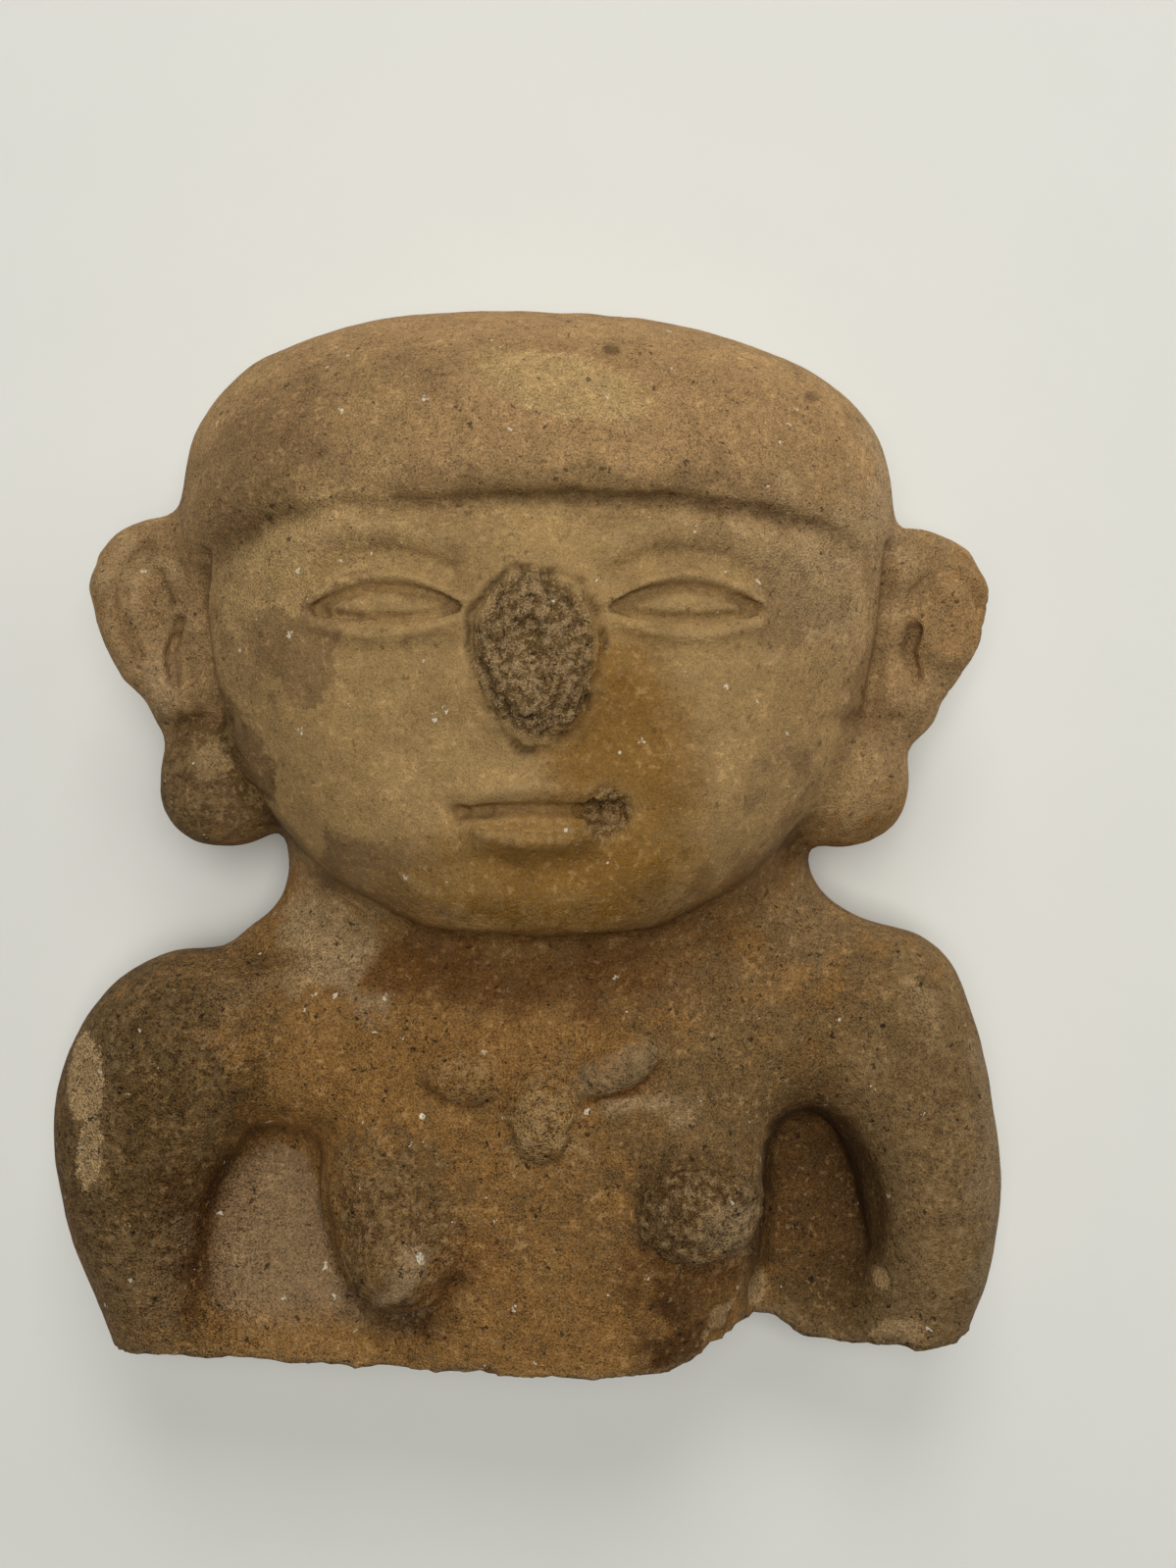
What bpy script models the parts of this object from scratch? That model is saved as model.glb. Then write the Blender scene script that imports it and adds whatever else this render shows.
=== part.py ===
"""A terracotta effigy figure: head, shoulders and chest in one piece of fired clay.

The figure is broken across below the breasts. It lies on its back, face towards +Z and crown
towards +Y, and its origin is under the middle of the figure, on the surface that it lies on.
It is built as a potter would build it: rolls and lumps of clay are pressed together, the joints
are smoothed, the features are tooled in, and then the nose and the lower end are broken away.
"""

import math

import bmesh
import bpy
import numpy as np
from mathutils import Matrix, Vector, noise

# Driving dimensions, in metres
FIGURE_HEIGHT = 0.131
SURFACE_GRID = 0.0009
BREAK_ROUGHNESS = 0.0008
BREAK_COARSENESS = 0.22
SKIN_TRIANGLES = 8200
JOINT_STROKES = 30
RELIEF_STROKES = 9

# A place on the figure is (across, along, proud) in hundredths of its height: across is to the
# viewer's right, along is from the foot towards the crown, and proud is above the flat back
SHARE = FIGURE_HEIGHT / 100
MIDLINE = 1.2

# The head wears a close cap, whose rim is cut by one plane that drops towards the back
CROWN = 100.0
CHIN = 41.0
CAP_THICKNESS = 0.9
CAP_RIM_AT_BACK = 66.4
CAP_RIM_SLOPE = 0.36
FACE_FRONT = 40.4

# A plain face by the usual canon: eyes at half the height of the head, which is five eyes wide
HEAD_HALF_WIDTH = 33.4
EYE_LINE = (CROWN + CHIN) / 2
EYE_WIDTH = 2 * HEAD_HALF_WIDTH / 5
BROW_LINE = EYE_LINE + 0.42 * EYE_WIDTH
NOSE_BASE = (BROW_LINE + CHIN) / 2
MOUTH_LINE = NOSE_BASE - 0.36 * (NOSE_BASE - CHIN)
NOSE_STUMP_FRONT = 43.4
NOSE_STUMP_ROUGHNESS = 0.5


def place(across, along, proud):
    return Vector((across, along, proud)) * SHARE


def spread_smoothly(rows, count):
    """Rows of numbers, drawn through with a Catmull-Rom curve at this many even steps."""
    rows = np.array(rows, float)
    ends = np.vstack([2 * rows[0] - rows[1], rows, 2 * rows[-1] - rows[-2]])
    made = []
    for step in np.linspace(0, len(rows) - 1, count):
        first = min(int(step), len(rows) - 2)
        t = step - first
        before, start, end, after = ends[first : first + 4]
        made.append(
            start
            + 0.5 * t * (end - before)
            + t * t * (before - 2.5 * start + 2 * end - 0.5 * after)
            + 0.5 * t**3 * (after - before + 3 * (start - end))
        )
    return made


# Lumps and rolls of clay


def add_lump(clay, centre, radii, squareness=2.0, lean=0.0):
    """A ball drawn out to these half sizes. Lean, in degrees, tips its top to the left."""
    ball = bmesh.ops.create_icosphere(clay, subdivisions=4, radius=1.0)
    tip = Matrix.Rotation(math.radians(lean), 3, "Z")
    for vert in ball["verts"]:
        reach = sum(abs(c) ** squareness for c in vert.co) ** (1 / squareness)
        drawn = Vector(c / reach * r for c, r in zip(vert.co, radii))
        vert.co = place(*centre) + tip @ drawn * SHARE


def add_roll(clay, stations, squareness=2.6, rings=16, sides=44):
    """A roll of clay from foot to crown. A station is (along, left, right, back, front)."""
    loops = []
    for along, left, right, back, front in spread_smoothly(stations, rings):
        circle = bmesh.ops.create_circle(clay, segments=sides, radius=1.0)
        for vert in circle["verts"]:
            reach = (abs(vert.co.x) ** squareness + abs(vert.co.y) ** squareness) ** (1 / squareness)
            vert.co = place(
                (left + right) / 2 + vert.co.x / reach * (right - left) / 2,
                along,
                (back + front) / 2 + vert.co.y / reach * (front - back) / 2,
            )
        loops.append(list({edge for vert in circle["verts"] for edge in vert.link_edges}))
    for lower, upper in zip(loops, loops[1:]):
        bmesh.ops.bridge_loops(clay, edges=lower + upper)
    for end in (loops[0], loops[-1]):
        bmesh.ops.edgeloop_fill(clay, edges=end)


def cut_away(clay, where, towards):
    """Cuts off what lies beyond a plane on the side that it looks towards, and closes the cut."""
    whole = clay.verts[:] + clay.edges[:] + clay.faces[:]
    bmesh.ops.bisect_plane(clay, geom=whole, plane_co=where, plane_no=towards, clear_outer=True)
    rim = [edge for edge in clay.edges if edge.is_boundary]
    bmesh.ops.holes_fill(clay, edges=rim, sides=0)


def head_stations(thickness):
    """The head from chin to crown, grown on all sides by the thickness of what it wears."""
    bare = [
        (CHIN + 0.5, -9, 11.5, 20, 36),
        (46, -17.6, 20.2, 9, 39.0),
        (53, -24.6, 27.2, 3, 40.2),
        (62, -29.6, 31.6, -1, FACE_FRONT),
        (72, -31.6, 33.4, -1.5, FACE_FRONT),
        (81, -32.1, 34.0, -1.5, 39.6),
        (88, -30.8, 32.4, -1, 37.4),
        (93.4, -26.5, 26.7, 2.5, 33.4),
        (97.2, -19.2, 17.2, 8, 27.5),
        (CROWN - CAP_THICKNESS, -11.2, 7.2, 13, 22.5),
    ]
    grow = np.array([thickness * 0.9, -thickness, thickness, -thickness, thickness])
    return [np.array(station) + grow for station in bare]


def add_head(clay):
    """The bare head, with lumps for the chin, the lips, and the foot and bridge of the nose."""
    nose_middle = (BROW_LINE + NOSE_BASE) / 2
    add_roll(clay, head_stations(0.0), squareness=2.4, rings=28, sides=72)
    add_lump(clay, (MIDLINE, CHIN + 6, 30), (12, 6.2, 9.4))
    add_lump(clay, (MIDLINE, MOUTH_LINE, 34), (11, 7.5, 7.4))
    add_lump(clay, (MIDLINE, nose_middle, FACE_FRONT - 3), (8.2, 11, 4.6), squareness=2.2)
    add_lump(clay, (MIDLINE, nose_middle - 1, FACE_FRONT - 2.4), (5.8, 8.2, 7), squareness=2.3)


def add_cap(clay):
    cap = bmesh.new()
    add_roll(cap, head_stations(CAP_THICKNESS), squareness=2.4, rings=28, sides=72)
    cut_away(cap, place(0, CAP_RIM_AT_BACK, 0), Vector((0, -1, CAP_RIM_SLOPE)))
    mesh = bpy.data.meshes.new("cap")
    cap.to_mesh(mesh)
    cap.free()
    clay.from_mesh(mesh)


def add_ears(clay):
    """Each ear, and under it the round ornament that stretches the lobe."""
    add_lump(clay, (-34.4, 71.8, 20.5), (6.4, 8.7, 5.0), squareness=2.6, lean=14)
    add_lump(clay, (-32.0, 63, 20.5), (4.2, 4.6, 4.6))
    add_lump(clay, (-28.8, 55.3, 20.5), (6.5, 6.5, 6.0), squareness=2.2)
    add_lump(clay, (36.9, 70.9, 20.5), (6.3, 8.3, 5.0), squareness=2.3, lean=-16)
    add_lump(clay, (35.4, 63.2, 20.5), (4.3, 4.6, 4.6))
    add_lump(clay, (30.0, 55.4, 20.5), (6.7, 6.6, 6.0), squareness=2.2)


def add_torso(clay):
    """Chest, neck and arm stumps, the webs under the arms, and the slabs that join them."""
    chest = [
        (44, -22, 27, 5, 20),
        (36, -25, 29, 3, 26),
        (27, -25, 29, 2, 28.2),
        (21, -20.2, 23.4, 2, 29),
        (12, -17.2, 22.8, 2, 29.2),
        (5, -15.2, 21.4, 2, 28.6),
        (-6, -15, 19.6, 2, 27.5),
    ]
    neck = [
        (58, -23, 26, 6, 30),
        (50, -23.6, 27.2, 5, 27),
        (45.5, -23.6, 27.8, 4, 25.5),
        (42.4, -25.4, 31.4, 4, 23.5),
        (39.4, -29, 36, 3, 24),
        (30, -24, 28, 3, 26),
    ]
    left_arm = [
        (38.8, -35, -24, 9, 18),
        (36, -40.4, -20, 4, 24),
        (29.5, -44.8, -21, 2, 27),
        (20, -46.2, -27, 2, 27),
        (11, -44.2, -30, 2, 26),
        (3, -41.2, -29, 3, 24),
        (-6, -38, -28, 4, 22),
    ]
    right_arm = [
        (41, 27, 37.6, 9, 18),
        (38, 24, 41.4, 5, 23),
        (30.5, 23, 44.1, 2, 26),
        (20, 31, 45.8, 2, 27),
        (10, 32.6, 45.4, 2, 26),
        (3, 31, 43.4, 3, 24),
        (-6, 30, 39.5, 4, 22),
    ]
    left_web = [
        (25, -29, -15, 4, 14),
        (16, -34, -11, 2, 20),
        (8, -34, -8, 2, 24),
        (-6, -34, -8, 2, 26),
    ]
    right_web = [
        (27, 24, 33, 2, 9),
        (18, 21, 35, 2, 11),
        (9, 20, 35, 2, 15.5),
        (-6, 18, 35, 2, 24),
    ]
    for roll in (chest, neck, left_arm, right_arm, left_web, right_web):
        add_roll(clay, roll)
    shoulders = (0.5, 31.6, 13.5)
    back = (-0.4, 14, 5)
    add_lump(clay, shoulders, (39, 9.6, 12.5), squareness=3, lean=3.4)
    add_lump(clay, back, (41, 27, 6.6), squareness=3)


def add_chest_relief(clay):
    """The breasts, and the three beads that are left of a necklace."""
    add_lump(clay, (-12.4, 15.8, 20.5), (7.2, 11.6, 9.0), lean=8)
    add_lump(clay, (-11.8, 11.6, 24.4), (5.6, 6.8, 6.8), lean=8)
    add_lump(clay, (15.0, 19.2, 22.0), (7.6, 10.4, 8.4))
    add_lump(clay, (15.8, 15.6, 26.4), (5.8, 5.0, 5.8), squareness=2.2)
    add_lump(clay, (-5.7, 28.2, 28.0), (3.4, 2.3, 2.2), lean=8)
    add_lump(clay, (1.5, 24.0, 28.4), (2.9, 3.8, 2.6), squareness=2.4, lean=-4)
    add_lump(clay, (8.9, 29.0, 27.8), (4.0, 2.3, 2.2), lean=28)


# Working the surface


def as_object(name, clay):
    bmesh.ops.recalc_face_normals(clay, faces=clay.faces)
    mesh = bpy.data.meshes.new(name)
    clay.to_mesh(mesh)
    clay.free()
    made = bpy.data.objects.new(name, mesh)
    bpy.context.collection.objects.link(made)
    return made


def apply_modifiers(figure):
    graph = bpy.context.evaluated_depsgraph_get()
    worked = bpy.data.meshes.new_from_object(figure.evaluated_get(graph))
    figure.modifiers.clear()
    figure.data = worked


def press_together(figure, strokes):
    """Makes one skin of the lumps, and smooths the joints with this many strokes of a wet hand."""
    skin = figure.modifiers.new("one_skin", "REMESH")
    skin.mode = "VOXEL"
    skin.voxel_size = SURFACE_GRID
    smooth = figure.modifiers.new("wet_hand", "SMOOTH")
    smooth.factor = 0.5
    smooth.iterations = strokes
    apply_modifiers(figure)


def arc(across, along, half_width, rise, count=9):
    """A shallow arc in the front view, from one side of this place to the other."""
    t = np.linspace(-1, 1, count)
    return np.column_stack([across + half_width * t, along + rise * (1 - t * t)])


def face_strokes():
    """Strokes of the tool on the face: the line, how far each reaches and how much it raises."""
    strokes = []
    half_eye = EYE_WIDTH / 2
    for side in (-1, 1):
        eye = MIDLINE + side * EYE_WIDTH
        socket = arc(eye, EYE_LINE, half_eye * 0.8, 0.6)
        ball = arc(eye, EYE_LINE, half_eye * 0.5, 0.3)
        upper_lid = arc(eye, EYE_LINE + 0.4, half_eye, 2.1)
        slit = arc(eye, EYE_LINE - 0.2, half_eye * 0.9, 0.5)
        lower_lid = arc(eye, EYE_LINE - 0.8, half_eye, -1.5)
        brow = arc(eye + side, BROW_LINE, EYE_WIDTH * 0.6, 1.6)
        fold = np.array([(eye - side * 3.0, NOSE_BASE - 5.5), (eye - side * 5.4, NOSE_BASE + 2)])
        strokes += [(socket, 4.2, -1.0), (ball, 2.2, 0.5), (upper_lid, 0.95, 0.6)]
        strokes += [(slit, 0.9, -0.9), (lower_lid, 0.95, 0.5), (brow, 1.9, 0.5), (fold, 2.6, -0.5)]
    mouth = arc(MIDLINE, MOUTH_LINE + 0.2, 7.2, 0.4)
    upper_lip = arc(MIDLINE, MOUTH_LINE + 1.8, 6.6, 0.7)
    lower_lip = arc(MIDLINE, MOUTH_LINE - 1.2, 5.6, -1.0)
    chin_fold = arc(MIDLINE, MOUTH_LINE - 4.2, 6.0, -0.8)
    strokes += [(mouth, 1.4, -1.2), (upper_lip, 1.0, 0.5), (lower_lip, 1.1, 0.6)]
    return strokes + [(chin_fold, 1.5, -0.6)]


def ear_strokes():
    left_hollow = np.array([(-35.6, 74.5), (-34.6, 70), (-32.6, 66.5)])
    left_rim = np.array([(-34.0, 79), (-39.0, 76), (-39.6, 70), (-37.0, 65)])
    right_hollow = np.array([(37.6, 74), (36.4, 70), (35.0, 66.5)])
    right_rim = np.array([(36.0, 78.4), (41.2, 76), (42.4, 70.5), (39.8, 65)])
    strokes = [(hollow, 1.9, -1.6) for hollow in (left_hollow, right_hollow)]
    strokes += [(rim, 1.5, 0.6) for rim in (left_rim, right_rim)]
    return strokes


def distance_to_line(points, line):
    """How far each point of the front view is from a line through these places."""
    nearest = np.full(len(points), np.inf)
    for start, end in zip(line[:-1], line[1:]):
        run = end - start
        t = np.clip((points - start) @ run / (run @ run), 0, 1)
        nearest = np.minimum(nearest, np.linalg.norm(points - start - t[:, None] * run, axis=1))
    return nearest


def read_vectors(items, name):
    values = np.empty(len(items) * 3, np.float32)
    items.foreach_get(name, values)
    return values.reshape(-1, 3).astype(float)


def move_along_normals(mesh, places, rise):
    """Raises each point by its own share of the height, and reads the new surface."""
    places += read_vectors(mesh.vertices, "normal") * rise[:, None]
    mesh.vertices.foreach_set("co", (places * SHARE).astype(np.float32).ravel())
    mesh.update()


def tool_features(figure):
    mesh = figure.data
    places = read_vectors(mesh.vertices, "co") / SHARE
    for line, reach, rise in face_strokes() + ear_strokes():
        in_front = np.clip(read_vectors(mesh.vertices, "normal")[:, 2] * 2.5, 0, 1)
        gap = distance_to_line(places[:, :2], line)
        move_along_normals(mesh, places, rise * np.exp(-((gap / reach) ** 2)) * in_front)


def tool_cap_rim(figure):
    """A soft groove under the rim of the cap, all round the head, and a roll along the rim."""
    mesh = figure.data
    places = read_vectors(mesh.vertices, "co") / SHARE
    groove = (-1.1, 1.4, -0.7)
    roll = (2.2, 2.4, 0.35)
    for offset, reach, rise in (groove, roll):
        rim = CAP_RIM_AT_BACK + CAP_RIM_SLOPE * places[:, 2] + offset
        inside_ears = np.clip((HEAD_HALF_WIDTH + 1 - abs(places[:, 0] - MIDLINE)) / 2, 0, 1)
        fade = np.exp(-(((places[:, 1] - rim) / reach) ** 2)) * inside_ears
        move_along_normals(mesh, places, rise * fade)


def break_off_nose(figure):
    """Cuts the nose back to a rough stump that leans a little to the viewer's right."""
    for vert in figure.data.vertices:
        across, along, proud = vert.co / SHARE
        rough = NOSE_STUMP_ROUGHNESS * noise.noise(Vector((across, along, 7.0)) * 0.9)
        stump = NOSE_STUMP_FRONT - 0.06 * (across - MIDLINE) + rough
        if proud > stump:
            vert.co.z = stump * SHARE


# The break across the chest


def break_line(across):
    """How high the break stands above the foot, with a notch where the right web broke away."""
    heights = [
        (-48, 0.9), (-35, 0.8), (-24, 0.5), (-12, -0.4), (-6, 0.2), (5, 0.1), (9, -0.5),
        (13, -0.6), (17.7, 2.3), (23.5, 3.9), (28.5, 0.8), (34, 0.9), (41, 1.6), (48, 1.8),
    ]
    return float(np.interp(across, *zip(*heights)))


def make_break_cutter():
    """A block below the figure, with the rough face of the break towards it."""
    clay = bmesh.new()
    half_width, half_depth, middle_depth = 52.0, 24.0, 16.0
    grid = bmesh.ops.create_grid(clay, x_segments=60, y_segments=28, size=1.0)
    for vert in grid["verts"]:
        across = vert.co.x * half_width
        proud = middle_depth + vert.co.y * half_depth
        rough = noise.fractal(Vector((across, 3.0, proud)) * BREAK_COARSENESS, 1.0, 2.0, 4)
        vert.co = place(across, break_line(across), proud)
        vert.co.y += rough * BREAK_ROUGHNESS
    made = bmesh.ops.extrude_face_region(clay, geom=clay.faces[:])
    for item in made["geom"]:
        if isinstance(item, bmesh.types.BMVert):
            item.co.y = place(0, -16, 0).y
    cutter = as_object("break_cutter", clay)
    cutter.hide_render = True
    cutter.display_type = "WIRE"
    return cutter


def break_across(figure, cutter):
    cut = figure.modifiers.new("break", "BOOLEAN")
    cut.operation = "DIFFERENCE"
    cut.object = cutter
    apply_modifiers(figure)


def flatten_back(figure):
    """Flattens the back of the head and of the body, as wet clay does on the board it lies on."""
    clay = bmesh.new()
    clay.from_mesh(figure.data)
    cut_away(clay, place(0, 0, 0), Vector((0, 0, -1)))
    clay.to_mesh(figure.data)
    clay.free()


def thin_out(figure):
    """Keeps the triangles where the form turns and drops them where it is plain."""
    figure.data.calc_loop_triangles()
    fewer = figure.modifiers.new("fewer_triangles", "DECIMATE")
    fewer.ratio = SKIN_TRIANGLES / len(figure.data.loop_triangles)
    apply_modifiers(figure)


def set_down_at_origin(figure):
    """Puts the middle of the figure's outline over the origin, with its back on the ground."""
    corners = read_vectors(figure.data.vertices, "co")
    low, high = corners.min(axis=0), corners.max(axis=0)
    middle = (low + high) / 2
    figure.data.transform(Matrix.Translation((-middle[0], -middle[1], -low[2])))


def finish_terracotta(figure):
    terracotta = bpy.data.materials.new("terracotta")
    terracotta.use_nodes = True
    surface = terracotta.node_tree.nodes["Principled BSDF"]
    surface.inputs["Base Color"].default_value = (0.30, 0.165, 0.085, 1)
    surface.inputs["Roughness"].default_value = 0.85
    surface.inputs["Metallic"].default_value = 0.0
    figure.data.materials.clear()
    figure.data.materials.append(terracotta)
    figure.data.shade_smooth()


def main():
    for old in list(bpy.data.objects):
        bpy.data.objects.remove(old)
    clay = bmesh.new()
    add_torso(clay)
    add_head(clay)
    body = as_object("body", clay)
    press_together(body, JOINT_STROKES)
    clay = bmesh.new()
    clay.from_mesh(body.data)
    bpy.data.objects.remove(body)
    add_cap(clay)
    add_ears(clay)
    add_chest_relief(clay)
    figure = as_object("effigy_figure", clay)
    press_together(figure, RELIEF_STROKES)
    tool_features(figure)
    tool_cap_rim(figure)
    break_off_nose(figure)
    thin_out(figure)
    break_across(figure, make_break_cutter())
    flatten_back(figure)
    set_down_at_origin(figure)
    finish_terracotta(figure)


main()
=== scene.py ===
# %% [markdown]
# # A small figure of fired clay
# The object is a broken terracotta figure, about 13 cm long: a big head in a close cap, round
# ornaments in its ears, the stumps of two arms, and a chest with three beads. It lies on its
# back on a pale table. The solid model gives its form, and this lesson gives that form the
# surface of old clay: tool marks, chips, sand grains, smoke stains and worn slip.

import math

import bmesh
import bpy
import numpy as np
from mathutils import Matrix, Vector, noise
from mathutils.bvhtree import BVHTree


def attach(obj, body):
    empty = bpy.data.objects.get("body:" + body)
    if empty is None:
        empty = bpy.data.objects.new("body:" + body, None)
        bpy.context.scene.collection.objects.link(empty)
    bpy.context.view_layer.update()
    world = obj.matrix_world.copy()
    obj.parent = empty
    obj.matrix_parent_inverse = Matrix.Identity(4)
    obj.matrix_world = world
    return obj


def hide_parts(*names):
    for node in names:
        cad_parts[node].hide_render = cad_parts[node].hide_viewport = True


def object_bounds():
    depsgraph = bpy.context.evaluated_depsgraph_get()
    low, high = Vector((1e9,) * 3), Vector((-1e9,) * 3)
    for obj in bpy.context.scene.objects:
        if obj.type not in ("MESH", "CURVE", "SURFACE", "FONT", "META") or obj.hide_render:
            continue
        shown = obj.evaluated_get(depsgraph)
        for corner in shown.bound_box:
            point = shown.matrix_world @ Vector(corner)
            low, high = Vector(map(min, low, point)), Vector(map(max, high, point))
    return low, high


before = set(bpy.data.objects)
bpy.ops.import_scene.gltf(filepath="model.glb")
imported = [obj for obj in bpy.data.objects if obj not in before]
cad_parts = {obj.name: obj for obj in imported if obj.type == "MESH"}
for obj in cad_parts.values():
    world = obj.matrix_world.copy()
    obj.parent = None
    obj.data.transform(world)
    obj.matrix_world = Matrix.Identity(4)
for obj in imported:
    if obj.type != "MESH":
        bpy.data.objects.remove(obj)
cad_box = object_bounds()
scene = bpy.context.scene
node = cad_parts["effigy_figure"]
print("the solid model measures", [round(b - a, 4) for a, b in zip(*cad_box)], "m")

# %% [markdown]
# ## The camera
# The photograph was taken from straight above with the camera close by, which makes the raised
# face look larger than the shoulders. A lens of the right length at the right height gives the
# same spread, so both are set before anything else.

# %% A camera above the table
lens = bpy.data.cameras.new("camera")
lens.sensor_fit = "VERTICAL"
lens.sensor_height = 36.0
lens.lens = 53.6
camera = bpy.data.objects.new("camera", lens)
camera.location = (0.0078, 0.0072, 0.320)
scene.collection.objects.link(camera)
scene.camera = camera
scene.view_settings.view_transform = "Standard"
print("camera", round(camera.location.z * 1000), "mm above the table")

# %% [markdown]
# ## A finer skin
# The solid model is made of flat facets, a few millimetres across. Clay has none, so a copy gets
# a fresh and even skin with the Remesh modifier, and smoothing rounds what is left of the facets.
# The broken lower end is smoothed the least. The parts where small features sit are then divided
# once more, and the rest keeps the coarser mesh.

# %% Even clay
SKIN_GRID = 0.00098
SHARE = 0.00131
MIDDLE = np.array([-0.148, 49.506, 0.0])


def applied(figure):
    """The mesh of this object with its modifiers applied."""
    graph = bpy.context.evaluated_depsgraph_get()
    mesh = bpy.data.meshes.new_from_object(figure.evaluated_get(graph))
    figure.modifiers.clear()
    figure.data = mesh
    return mesh


clay = bmesh.new()
clay.from_mesh(node.data)
bmesh.ops.remove_doubles(clay, verts=clay.verts, dist=0.00001)
figure = bpy.data.objects.new("effigy_clay", bpy.data.meshes.new("effigy_clay"))
clay.to_mesh(figure.data)
clay.free()
scene.collection.objects.link(figure)
skin = figure.modifiers.new("skin", "REMESH")
skin.mode = "VOXEL"
skin.voxel_size = SKIN_GRID
mesh = applied(figure)
print("fresh skin of", len(mesh.polygons), "faces")

# %% [markdown]
# ## Places on the figure
# Places are given as a maker gives them, in shares of the figure: hundredths of its height,
# across to the right, along from the foot to the crown, and proud of the table. All tool marks
# move the points of the skin along its normals, which is what a hand with a stick does.

# %% Reading and moving the skin


def read(name):
    """One vector for each point of the skin: its place or its normal."""
    values = np.empty(len(mesh.vertices) * 3, np.float32)
    mesh.vertices.foreach_get(name, values)
    return values.reshape(-1, 3).astype(float)


def look():
    """Reads the places and normals of the skin afresh, in shares."""
    global places, normals
    places = read("co") / SHARE + MIDDLE
    normals = read("normal")


def push(rise):
    """Moves the skin along its normals by so many shares, but never out of the solid's box."""
    lowest, highest = (np.array(corner) / SHARE + MIDDLE for corner in cad_box)
    moved = np.clip(places + normals * rise[:, None], lowest, highest)
    mesh.vertices.foreach_set("co", ((moved - MIDDLE) * SHARE).astype(np.float32).ravel())
    mesh.update()
    look()


def step(values, start, end):
    """0 before start, 1 after end and a smooth rise between."""
    t = np.clip((values - start) / (end - start), 0, 1)
    return t * t * (3 - 2 * t)


def facing_up():
    return step(normals[:, 2], 0.0, 0.45)


look()
print("proud of the table by", round(places[:, 2].max(), 1), "shares")

# %% Smoothing away the facets
FACET_ROUNDS = 9


def smooth(where, rounds):
    """Smooths the skin where this number is 1, less where it is small, and not at all at 0."""
    global mesh
    group = figure.vertex_groups.new(name="soft")
    for level in range(1, 11):
        chosen = np.flatnonzero(np.round(where * 10) == level)
        group.add(chosen.tolist(), level / 10, "REPLACE")
    smoothing = figure.modifiers.new("smoothing", "SMOOTH")
    smoothing.factor = 0.5
    smoothing.iterations = rounds
    smoothing.vertex_group = group.name
    mesh = applied(figure)
    figure.vertex_groups.clear()
    look()


foot = places[:, 1].min()
kept_rough = 0.85 * step(-normals[:, 1], 0.45, 0.7) * step(places[:, 1], foot + 9, foot + 6)
smooth(1 - kept_rough, FACET_ROUNDS)
print("smoothed", len(mesh.vertices), "points")

# %% Finer where the features are
BUSY = [(1.2, 60, 27, 21), (1, 15, 28, 17), (-34, 70, 9, 12), (37, 70, 9, 12), (1, 80, 33, 4)]
busy = np.zeros(len(places), bool)
for across, along, half_across, half_along in BUSY:
    away = ((places[:, 0] - across) / half_across) ** 2 + ((places[:, 1] - along) / half_along) ** 2
    busy |= (away < 1) & (normals[:, 2] > 0.3)
clay = bmesh.new()
clay.from_mesh(mesh)
clay.verts.ensure_lookup_table()
chosen = [edge for edge in clay.edges if all(busy[vert.index] for vert in edge.verts)]
bmesh.ops.subdivide_edges(clay, edges=chosen, cuts=1, use_grid_fill=True, smooth=0.6)
bmesh.ops.triangulate(clay, faces=[face for face in clay.faces if len(face.verts) > 4])
clay.to_mesh(mesh)
clay.free()
mesh.update()
look()
triangles = sum(len(face.vertices) - 2 for face in mesh.polygons)
print("the skin now has", triangles, "triangles")

# %% [markdown]
# ## Tools
# Three tools do all the work. A stroke follows a line and raises or sinks the clay beside it, an
# oval marks out a patch of the surface, and clouds give uneven numbers for whatever is rough.
# They are used right away: both ends of the hollow under the right arm are rounded off, and the
# whole skin gets the faint unevenness of clay that was smoothed by hand.

# %% Stroke, oval and clouds


def distance_to(line):
    """How far each point is from this line in the front view."""
    nearest = np.full(len(places), np.inf)
    line = np.array(line, float)
    for start, end in zip(line[:-1], line[1:]):
        run = end - start
        t = np.clip((places[:, :2] - start) @ run / (run @ run), 0, 1)
        gap = np.linalg.norm(places[:, :2] - start - t[:, None] * run, axis=1)
        nearest = np.minimum(nearest, gap)
    return nearest


def stroke(line, reach, rise, only=1.0):
    """Raises the clay by this much along a line, and less the farther it is from it."""
    push(rise * np.exp(-((distance_to(line) / reach) ** 2)) * facing_up() * only)


def clouds(size, octaves=3, offset=0.0, where=None):
    """Uneven numbers around 0 at each point, in lumps of this size in shares."""
    made = np.zeros(len(places))
    chosen = range(len(places)) if where is None else np.flatnonzero(where > 0.001)
    spots = places / size + offset
    for index in chosen:
        made[index] = noise.fractal(spots[index], 1.0, 2.0, octaves)
    return made


def oval(across, along, half_across, half_along, turn=0.0, edge=0.25, ragged=0.0):
    """1 inside an oval of the front view and 0 outside, with a soft or ragged edge."""
    c, s = math.cos(math.radians(turn)), math.sin(math.radians(turn))
    x, y = places[:, 0] - across, places[:, 1] - along
    away = np.hypot((x * c + y * s) / half_across, (y * c - x * s) / half_along)
    if ragged:
        near = (away < 1.6).astype(float)
        away = away + ragged * clouds(1.6, 4, across, near)
    return step(-away, -1 - edge, -1 + edge) * (normals[:, 2] > 0)


def arc(across, along, half_width, rise, count=9):
    """A shallow arc in the front view, from one side of this place to the other."""
    t = np.linspace(-1, 1, count)
    return np.column_stack([across + half_width * t, along + rise * (1 - t * t)])


print("tools ready: stroke, clouds, oval and arc")

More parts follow.
